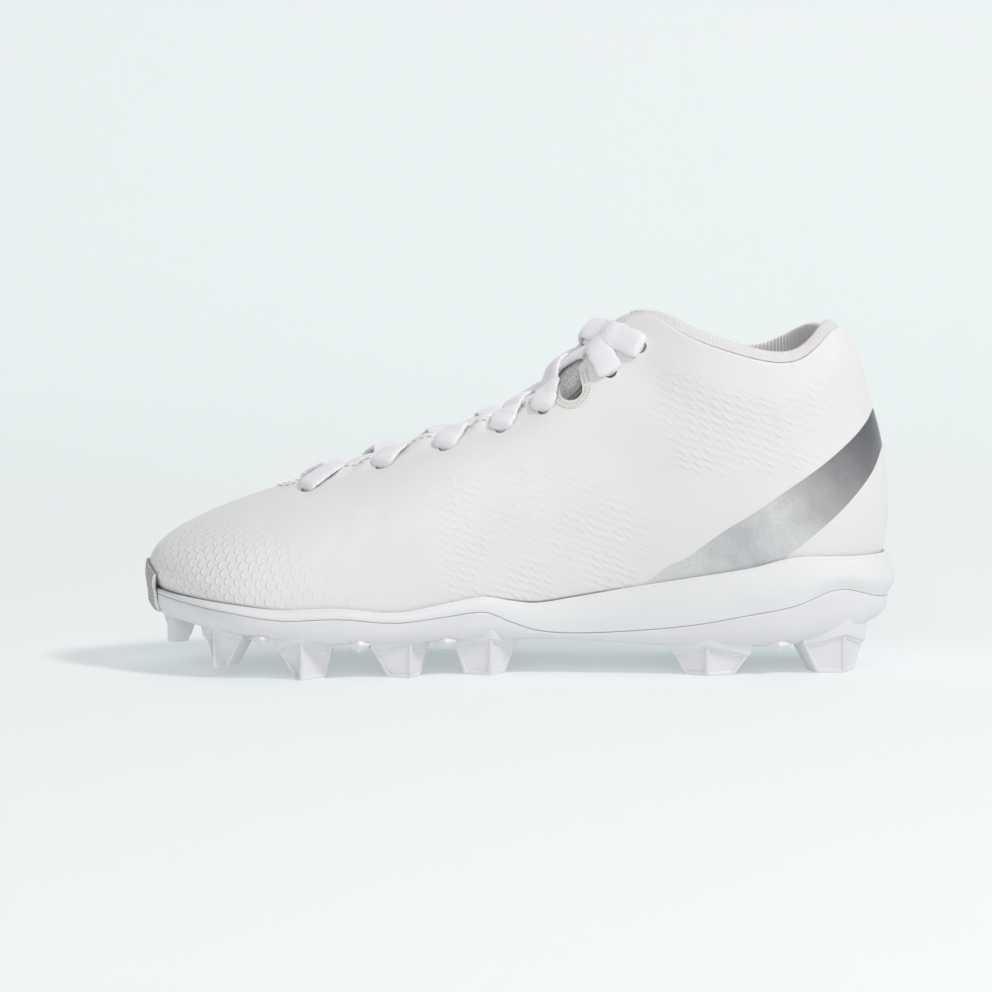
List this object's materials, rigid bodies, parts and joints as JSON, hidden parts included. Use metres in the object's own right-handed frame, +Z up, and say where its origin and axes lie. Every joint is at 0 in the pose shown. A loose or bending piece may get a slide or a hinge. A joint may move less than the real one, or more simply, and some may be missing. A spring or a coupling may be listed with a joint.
{
  "type": "american football cleat",
  "caption": "Mid-cut lace-up american football cleat, right shoe: moulded upper with knit collar and tongue, foam midsole and a studded outsole plate.",
  "frame": {"origin": "middle of the whole shoe's box in plan, on the floor that the studs stand on", "axes": "-X towards the toe, +X towards the heel; -Y is the inner (medial) side, which the picture shows; +Y the outer side; +Z up"},
  "size_m": [0.3, 0.0998, 0.1434],
  "materials": {
    "plate_plastic": "satin, moulded",
    "midsole_foam": "matte moulded foam",
    "bumper_rubber": "dotted texture",
    "upper_mesh": "coated mesh with a raised texture, silver band at the heel",
    "insole_fabric": "fine cloth over foam",
    "knit": "ribbed knit",
    "lace_cord": "soft flat braid"
  },
  "bodies": {
    "root": {"outsole": "plate_plastic", "midsole": "midsole_foam", "toe_bumper": "bumper_rubber", "upper": "upper_mesh", "insole": "insole_fabric", "tongue": "knit", "collar_padding": "knit", "laces": "lace_cord"}
  },
  "joints": []
}
